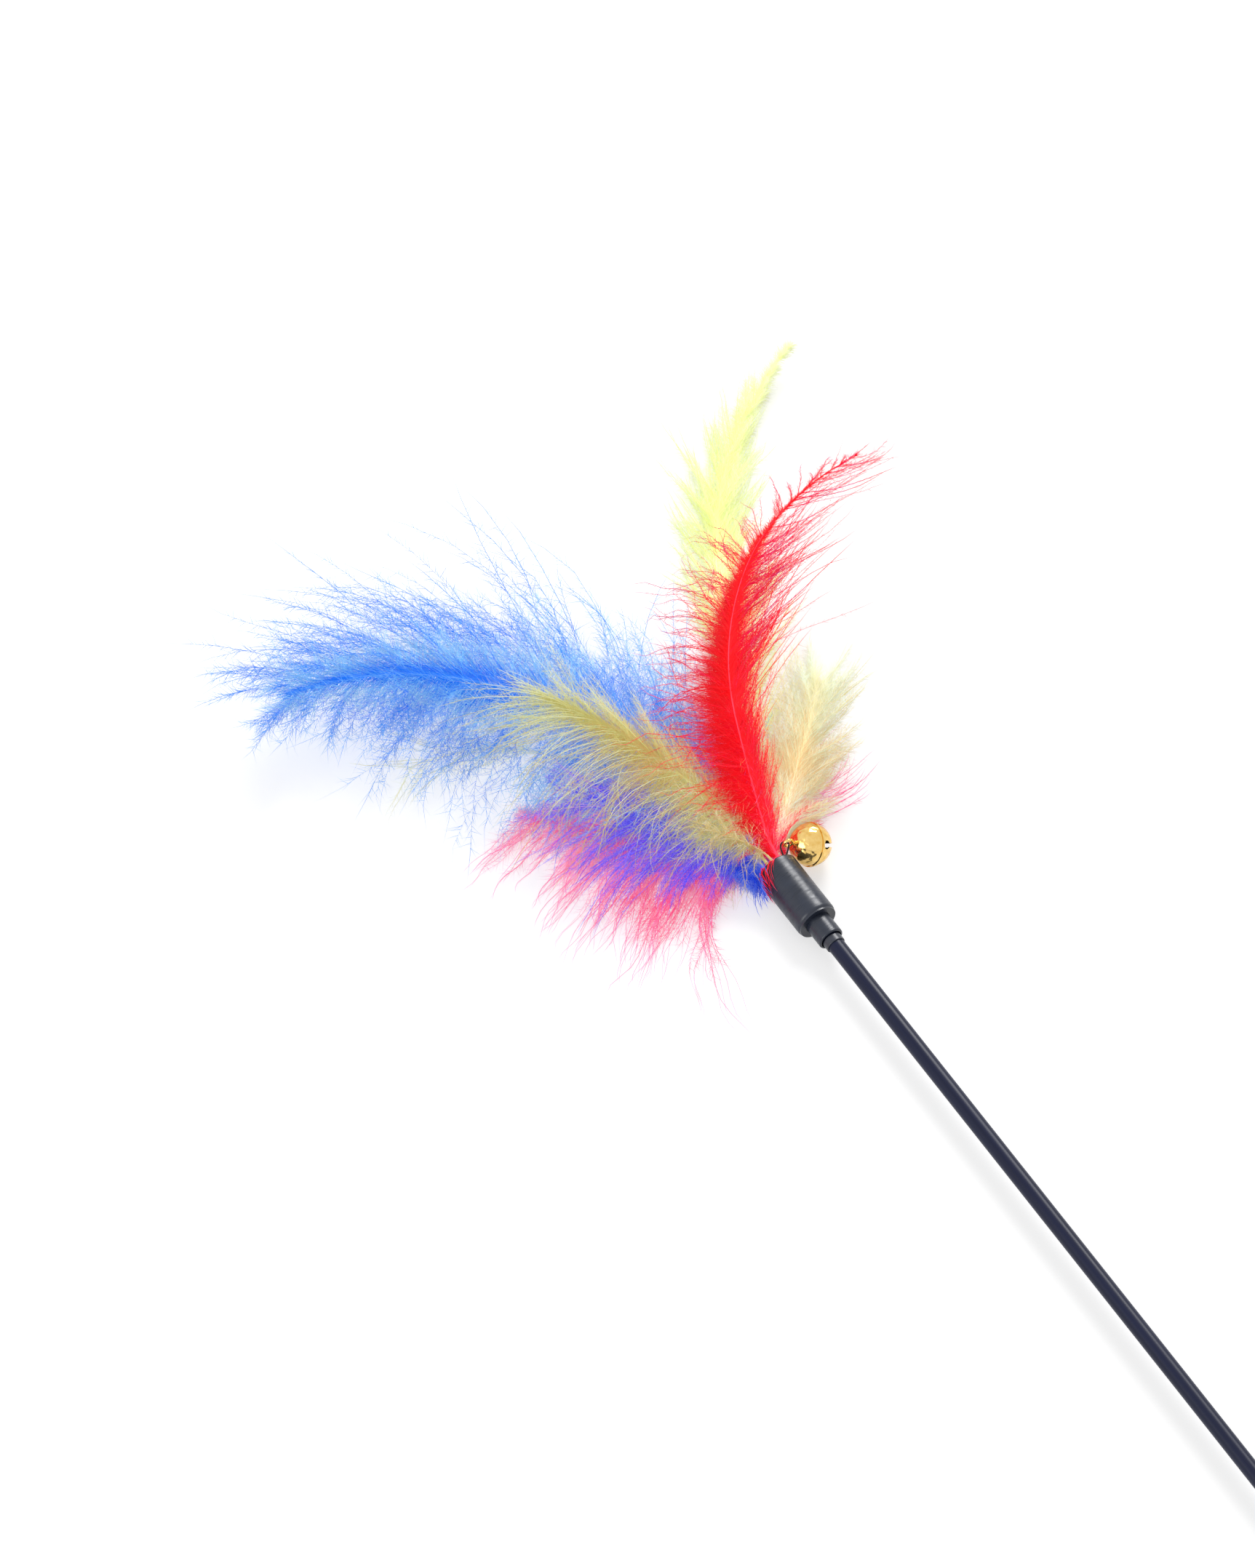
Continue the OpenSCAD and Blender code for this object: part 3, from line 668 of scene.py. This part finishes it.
saturation = mapped(gn, glink, speck.outputs["Value"], 0, 1, *SATURATION_SPREAD)
glink(saturation, shade.inputs["Saturation"])
glink(blended(gn, glink, near, tone, given["Near dye"]), shade.inputs["Color"])
quill = worked(gn, glink, "GREATER_THAN", band, QUILL_BAND - 0.5)
glink(blended(gn, glink, quill, shade.outputs["Color"], given["Quill"]), made["Color"])


def marabou(name, barb, down, quill, glow, vary=0.14, near=None):
    """Dyed marabou: three colours from root to end for the barbs and for their barbules, and one
    for the quill. Strands near the cap take some of the near colour. The glow is painted light: the
    strands emit their own colour at that strength, in place of the light that comes through them."""
    mat, fn, link, shader = new_material(name)
    uv = fn.new("ShaderNodeUVMap")
    uv.uv_map = "OFBake"
    colours = dict(zip(COLOURS, map(paint, (*barb, *down, quill, near or quill))))
    amounts = {"Near amount": NEAR_DEPTH if near else 0, "Variation": vary}
    outputs, inputs = placed(fn, dye, dict(colours, **amounts))
    link(uv.outputs["UV"], inputs["Strand"])
    link(outputs["Color"], shader.inputs["Base Color"])
    # Painted light: the strands glow with their own colour, in place of light passing through the
    # barbs
    link(outputs["Color"], shader.inputs["Emission Color"])
    shader.inputs["Emission Strength"].default_value = glow
    shader.inputs["Roughness"].default_value = 0.75
    shader.inputs["Specular IOR Level"].default_value = 0.2
    shader.inputs["Sheen Weight"].default_value = 0.08
    return mat


def make_plume(name, seed, plume, looks, mat):
    """One plume from its quill and the barbs of each side, in place of its plain solid."""
    rng = np.random.default_rng(seed)
    plume = {**PLUME, **plume}
    last = plume["len"] * plume["quill"]
    at = np.linspace(0, last, QUILL_POINTS)
    radius = along(at / last, QUILL_RADII)
    path = spine(at, plume)[0]
    meshes = [strand_mesh(name, path[None], radius[None], [QUILL_BAND + 1], QUILL_SIDES)]
    near = plume["near"]
    for side, look in looks:
        look = {**BARBS, **look}
        paths, radii, share = comb(rng, plume, side, look)
        if look["down"]:
            bands = tone_bands(rng, share, near, DOWN_BAND, QUILL_BAND)
            meshes.append(strand_mesh(name, paths, radii, bands, STRAND_SIDES, (0, look["down"])))
            continue
        bands = tone_bands(rng, share, near, 0, DOWN_BAND)
        meshes.append(strand_mesh(name, paths, radii, bands, STRAND_SIDES))
        if look["each"]:
            hairs, hair_radii, place = barbules(rng, paths, look)
            share = np.repeat(share, look["each"])
            bands = tone_bands(rng, share, near, DOWN_BAND, QUILL_BAND)
            ends = (place, np.minimum(place + HAIR_SHARE, 1))
            meshes.append(strand_mesh(name, hairs, hair_radii, bands, STRAND_SIDES, ends))
    piece = joined("plume_" + name, meshes)
    piece.data.materials.append(mat)
    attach(piece, "wand")
    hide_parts(name)


# The down by the quill: many fine straight strands, shorter towards the plume's tip, with the
# barbules' dye
DOWN = dict(thick=0.06, pull=0, points=2, down=0.3)
DOWN_PER_BARB = 11
DOWN_FLUFF = 5
DOWN_FADE = ((0, 1), (0.45, 0.9), (0.75, 0.5), (1, 0.3))


def coat(side, n, long, start, end, shape=REACH, soft=1.0, core=0.3, tuft=0.3, **more):
    """One side of a plume: n long barbs with their barbules, and a short dense down by the quill.
    Soft is how dense the down is, core its length as a share of the barbs', and tuft how long its
    shortest strands are as a share of the others."""
    barbs = dict(more, n=n, long=long, start=start, end=end, shape=shape)
    down = dict(barbs, n=int(n * DOWN_PER_BARB * soft), long=long * core, short=tuft, **DOWN)
    down["fluff"] = more.get("fluff", BARBS["fluff"]) + DOWN_FLUFF
    down.setdefault("fade", DOWN_FADE)
    return [(side, down), (side, barbs)]


EVEN = ((0, 1), (1, 0.85))
OPEN = ((0, 1.2), (0.7, 1), (0.85, 0.6), (1, 0.3))
blue_mat = marabou(
    "blue_marabou", barb=("#5090f0", "#84ace4", "#9cb0d4"), down=("#2c7cfc", "#88c8fa", "#b8dcf8"),
    quill="#7ab0f4", glow=0.3
)
make_plume(
    "blue_long", seed=15, mat=blue_mat,
    plume=dict(
        angle=0, ring=CORE_R, len=147, quill=0.89, bare=10, turns=(-13, 25, 47, 102),
        rises=(3, 4, 5, 9)
    ),
    looks=coat(
        LEFT, n=285, long=46, start=((0, 45), (0.6, 56), (1, 24)),
        end=((0, 92), (0.5, 108), (0.8, 66), (1, 10)),
        shape=((0, 0.8), (0.3, 1), (0.6, 1), (0.8, 0.65), (1, 0.55)), soft=1.3, core=0.34,
        tuft=0.12, lift=-1, jit=6, jit_end=13, wave=7, waves=0.8, curl=20, bend=0.8, lock=1,
        lock_bend=10, where=OPEN, fine=0.042, hair=8, thick=0.06, until=0.8, each=52, fade=EVEN
    ) + coat(
        RIGHT, n=325, long=60, start=((0, 64), (0.5, 68), (1, 26)),
        end=((0, 34), (0.5, 2), (1, -8)),
        shape=((0, 0.3), (0.12, 0.5), (0.25, 0.8), (0.42, 1), (0.75, 0.85), (1, 0.5)), soft=1.4,
        core=0.3, tuft=0.12, lift=1, jit=5, jit_end=11, wave=7, waves=0.8, curl=20, lock=1,
        lock_bend=12, where=OPEN, fine=0.042, hair=8, thick=0.06, until=0.8, each=52, fade=EVEN
    ),
)

# Lower blue plume: a shorter one under the long one, dyed blue at its foot and violet at its end,
# with long drooping barbs on its left.
purple_mat = marabou(
    "deep_blue_marabou", barb=("#b898f0", "#d8a8e0", "#e8b0d8"),
    down=("#bca0f4", "#e0b4e8", "#f8d0f0"), quill="#8c90f8", glow=0.34, near="#2848fa"
)
FADING = ((0, 1), (0.4, 0.75), (0.7, 0.25), (1, 0.06))
ROUNDED = ((0, 0.5), (0.3, 1), (0.7, 0.9), (1, 0.5))
make_plume(
    "blue_lower", seed=16, mat=purple_mat,
    plume=dict(
        angle=20, len=72, quill=0.72, bare=6, turns=(43, 35, 39, 72), rises=(9, 8, 5, 0), near=0.5
    ),
    looks=coat(
        LEFT, n=180, long=36, start=((0, 55), (1, 30)), end=((0, 100), (0.6, 76), (1, 20)),
        shape=ROUNDED, soft=0.7, lift=-3, where=FADING
    ) + coat(
        RIGHT, n=150, long=24, start=((0, 45), (1, 25)), end=((0, 35), (1, 5)), shape=ROUNDED,
        soft=0.8, where=FADING
    ),
)

# Blue tuft: a short royal blue feather at the mouth of the cap. Its barbs are frizzy, and some fold
# back over the rim.
royal_mat = marabou(
    "royal_blue_marabou", barb=("#2c48d4", "#4c68e0", "#7c94e8"),
    down=("#2840dc", "#5470f0", "#a0b4f4"), quill="#4058d8", glow=0.3
)
TUFTED = ((0, 1.5), (0.5, 0.6), (1, 0.1))
FRIZZY = dict(fluff=24, jit=16, jit_end=25, curl=40, wave=18, lock=3)
FOLD = dict(
    n=70, long=11, start=((0, 118),), end=((0, 178),), shape=((0, 1),), bare=0.6, span=(0, 0.06),
    jit=14, jit_end=6, curl=4, fluff=30, each=0, short=0.5, thick=0.09, lock=3
)
make_plume(
    "blue_base", seed=21, mat=royal_mat,
    plume=dict(angle=350, len=14, bare=2, turns=(86, 80, 74, 68), rises=(18, 20, 10, -5)),
    looks=coat(
        LEFT, n=120, long=11, start=((0, 90), (1, 60)), end=((0, 140), (1, 90)),
        where=TUFTED, **FRIZZY
    ) + coat(
        RIGHT, n=90, long=9, start=((0, 60), (1, 40)), end=((0, 60), (1, 30)),
        where=TUFTED, **FRIZZY
    ) + [(LEFT, FOLD)],
)

# Tall red plume: a stiff curved quill with long combed barbs on its right and short frizzy ones on
# its left, dense and deep red at its foot and thin and pink at its tip.
SPARSE = ((0, 1), (0.35, 0.9), (0.55, 0.5), (0.75, 0.3), (1, 0.2))
THINNING = ((0, 1.2), (0.4, 1.1), (0.6, 0.85), (0.78, 0.36), (1, 0.2))
red_mat = marabou(
    "red_marabou", barb=("#ff101c", "#f84462", "#cc5c8c"), down=("#ff0612", "#ff3c58", "#f890b0"),
    quill="#f04860", glow=0.3, near="#f40c1a"
)
make_plume(
    "red_tall", seed=12, mat=red_mat,
    plume=dict(
        angle=125, len=122, quill=0.93, bare=2, turns=(-15, -20, -51, -109), rises=(19, 11, 9, 14),
        near=0.3
    ),
    looks=coat(
        LEFT, n=300, long=28, start=((0, 60), (0.15, 74), (0.4, 62), (1, 22)),
        end=((0, 80), (0.15, 104), (0.6, 75), (0.9, 20), (1, 3)),
        shape=((0, 0.3), (0.07, 0.6), (0.14, 1), (0.55, 0.8), (0.8, 0.4), (1, 0.14)), soft=2.2,
        core=0.5, tuft=0.5, fluff=9, fade=SPARSE, jit=8, jit_end=28, curl=45, wave=30, waves=1.8,
        lock=2, pull=0.2, where=THINNING, hair=2.2, each=38
    ) + coat(
        RIGHT, n=340, long=38, start=((0, 24), (0.2, 30), (0.45, 46), (0.8, 40), (1, 22)),
        end=((0, 8), (0.2, 14), (0.45, 28), (0.8, 6), (1, -14)),
        shape=((0, 0.4), (0.1, 0.55), (0.35, 0.85), (0.6, 1), (0.85, 0.75), (1, 0.3)), soft=1.5,
        core=0.36, fade=SPARSE, jit=4, jit_end=7, curl=9, lock_bend=8, lock=1, pull=0.1,
        where=THINNING, hair=2.6, each=40
    ),
)

# Short red plume behind the bell: a few open pink barbs that fan out to the right, under the cream
# plume. It and the wide lower one share one pink dye.
rose_mat = marabou(
    "rose_marabou", barb=("#fc6c98", "#fca0c8", "#dca8d4"), down=("#fc6894", "#feb4d4", "#ffe0ee"),
    quill="#ff86a8", glow=0.36
)
WIDENING = ((0, 0.5), (0.5, 1), (1, 1))
make_plume(
    "red_right", seed=14, mat=rose_mat,
    plume=dict(
        angle=210, len=34, quill=0.7, bare=8, turns=(-44, -47, -66, -84), rises=(-9, -2, 6, 12)
    ),
    looks=coat(
        LEFT, n=24, long=27, start=((0, 60), (1, 40)), end=((0, 5), (1, 10)), shape=WIDENING,
        each=14
    ) + coat(
        RIGHT, n=38, long=27, start=((0, 65), (1, 45)), end=((0, 30), (1, -10)), shape=WIDENING,
        each=14, jit=12
    ),
)

# Red tuft: short frizzy fluff all round the mouth of the cap and behind the bell, with some barbs
# folded back over the rim.
make_plume(
    "red_base", seed=22, mat=red_mat,
    plume=dict(
        angle=180, ring=CORE_R, len=23, bare=3, turns=(-44, -54, -56, -70), rises=(-4, 0, 3, 6)
    ),
    looks=coat(
        LEFT, n=90, long=9, start=((0, 60), (1, 30)), end=((0, 60), (1, 20)), **FRIZZY
    ) + coat(
        RIGHT, n=190, long=15, start=((0, 60), (1, 30)), end=((0, 66), (1, 20)), **FRIZZY
    ) + [(LEFT, dict(FOLD, n=44))],
)

# Lower pink plume: it lies lowest, on the floor, and its long wavy barbs hang out below the blue in
# separate pointed locks.
make_plume(
    "pink_lower", seed=17, mat=rose_mat,
    plume=dict(angle=290, len=70, quill=0.86, bare=9, turns=(48, 39, 43, 57), rises=(-6, 0, 1, 2)),
    looks=coat(
        LEFT, n=280, long=53, start=((0, 80), (0.3, 68), (1, 42)),
        end=((0, 98), (0.3, 98), (0.7, 86), (1, 42)),
        shape=((0, 0.7), (0.1, 0.95), (0.22, 0.92), (0.4, 0.78), (0.7, 0.55), (1, 0.46)), soft=1.2,
        jit=4, curl=12, lock=5, pull=0.65, lock_jit=7, lock_size=0.2, wave=24, waves=1.9, points=12,
        until=0.62, hair=5, where=((0, 1), (0.4, 0.9), (0.7, 0.55), (1, 0.2))
    ) + coat(
        RIGHT, n=160, long=22, start=((0, 45), (1, 25)), end=((0, 40), (1, 10))
    ),
)

# Tall lemon plume: the longest one, which stands furthest back. Its foot is hidden by the red one,
# so the barbs are few there, and its tip is narrow.
UPPER = ((0, 0.4), (0.5, 0.7), (0.7, 1), (0.85, 0.6), (1, 0.3))
lemon_mat = marabou(
    "lemon_marabou", barb=("#f0f8a4", "#eef8b0", "#dceaa8"), down=("#f4fcb4", "#f8fdc8", "#fafee4"),
    quill="#eef8a0", glow=0.3, vary=0.06
)
make_plume(
    "yellow_tall", seed=11, mat=lemon_mat,
    plume=dict(
        angle=250, len=153, quill=0.995, bare=14, turns=(-33, -20, -29, -69), rises=(-3, -1, 3, 10)
    ),
    looks=coat(
        LEFT, n=280, long=32, start=((0, 45), (1, 16)), end=((0, 40), (1, 2)),
        shape=((0, 0.3), (0.35, 0.4), (0.5, 0.85), (0.62, 1), (0.8, 0.6), (0.9, 0.3), (1, 0.12)),
        soft=0.5, core=0.4, where=UPPER
    ) + coat(
        RIGHT, n=300, long=37, start=((0, 45), (1, 16)), end=((0, 42), (1, 2)),
        shape=((0, 0.5), (0.3, 0.9), (0.6, 0.95), (0.75, 0.5), (0.85, 0.22), (1, 0.08)), soft=0.5,
        core=0.4, where=UPPER
    ),
)

# Cream plume on the right: a short wide one, tan at its foot and nearly white at its ends, with its
# barbs most crowded next to the cap.
cream_mat = marabou(
    "cream_marabou", barb=("#e6dcae", "#e6ecd0", "#dee4cc"), down=("#ece4b8", "#f0f8e4", "#fafcf4"),
    quill="#efe8c4", glow=0.3, vary=0.06, near="#e8bc84"
)
CROWDED = ((0, 1.6), (0.3, 1), (1, 0.7))
make_plume(
    "yellow_right", seed=13, mat=cream_mat,
    plume=dict(
        angle=170, len=56, quill=0.84, bare=3, turns=(-44, -48, -47, -40), rises=(8, 10, 12, 14),
        near=0.14
    ),
    looks=coat(
        LEFT, n=250, long=30, start=((0, 55), (0.3, 45), (1, 24)), end=((0, 34), (1, 0)),
        shape=((0, 0.9), (0.3, 1), (0.7, 0.85), (1, 0.6)), soft=2.0, core=0.45, hair=5.5,
        where=CROWDED
    ) + coat(
        RIGHT, n=220, long=30, start=((0, 44), (1, 32)), end=((0, 36), (0.5, 26), (1, 8)),
        shape=((0, 0.5), (0.3, 0.75), (0.7, 0.95), (1, 0.6)), soft=1.4, core=0.45, hair=5.5,
        fine=0.03, where=CROWDED
    ),
)

# Straw plume: it lies over the blue ones, and the long pale barbs on its left droop down across
# them in arcs.
olive_mat = marabou(
    "straw_marabou", barb=("#d0c880", "#d8daa4", "#e4e6cc"), down=("#d0c880", "#dee2ae", "#f2f4dc"),
    quill="#ccc27c", glow=0.28, vary=0.1, near="#dcb478"
)
THICK_FOOT = ((0, 1), (0.7, 0.95), (0.9, 0.7), (1, 0.5))
BROAD = ((0, 0.5), (0.15, 0.9), (0.5, 1), (0.8, 0.85), (1, 0.6))
make_plume(
    "yellow_mid", seed=19, mat=olive_mat,
    plume=dict(
        angle=50, len=85, quill=0.81, bare=8, turns=(2, 17, 30, 44), rises=(13, 12, 10, 6),
        near=0.18
    ),
    looks=coat(
        LEFT, n=200, long=44, start=((0, 30), (1, 20)),
        end=((0, 130), (0.5, 115), (0.8, 60), (1, 10)), shape=BROAD, soft=1.1, core=0.42,
        tuft=0.15, droop=8, bend=0.6, lock=2, pull=0.5, each=34, hair=4.5, jit=8, where=THICK_FOOT
    ) + coat(
        RIGHT, n=160, long=30, start=((0, 30), (1, 18)), end=((0, 18), (1, 2)), shape=BROAD,
        soft=1.0, core=0.42, tuft=0.15, each=34, hair=4.5, jit=9, where=THICK_FOOT
    ),
)

# Thin cream plume under the blue one: little more than a quill with a few barbs at its end, which
# shows through the blue.
make_plume(
    "yellow_under", seed=18, mat=cream_mat,
    plume=dict(angle=320, len=106, quill=0.9, bare=14, turns=(-1, 26, 43, 104), rises=(0, 0, 0, 1)),
    looks=coat(
        LEFT, n=24, long=24, start=((0, 35), (1, 22)), end=((0, 35), (1, 10)), shape=((0, 1),),
        soft=0.3, each=20, span=(0.6, 1)
    ) + coat(
        RIGHT, n=24, long=24, start=((0, 35), (1, 22)), end=((0, 30), (1, 5)), shape=((0, 1),),
        soft=0.3, each=20, span=(0.6, 1)
    ),
)

# Beige tuft: a short curly feather on top of the cap's mouth, whose barbs fall to the left over the
# blue tuft.
CURLY = dict(FRIZZY, lock=2, curl=70, wave=30, fluff=34)
beige_mat = marabou(
    "beige_marabou", barb=("#ccb474", "#d0c494", "#dcd6b4"), down=("#d4bc7c", "#e0d4a8", "#eeead0"),
    quill="#d0bc84", glow=0.26, vary=0.1
)
make_plume(
    "yellow_base", seed=20, mat=beige_mat,
    plume=dict(angle=80, len=23, bare=4, turns=(56, 48, 44, 44), rises=(30, 26, 8, -8)),
    looks=coat(
        LEFT, n=44, long=24, start=((0, 80), (1, 40)), end=((0, 140), (1, 80)), soft=0.4, droop=14,
        each=22, hair=2.6, **CURLY
    ) + coat(
        RIGHT, n=30, long=16, start=((0, 60), (1, 30)), end=((0, 60), (1, 20)), soft=0.4, each=22,
        hair=2.6, **CURLY
    ),
)
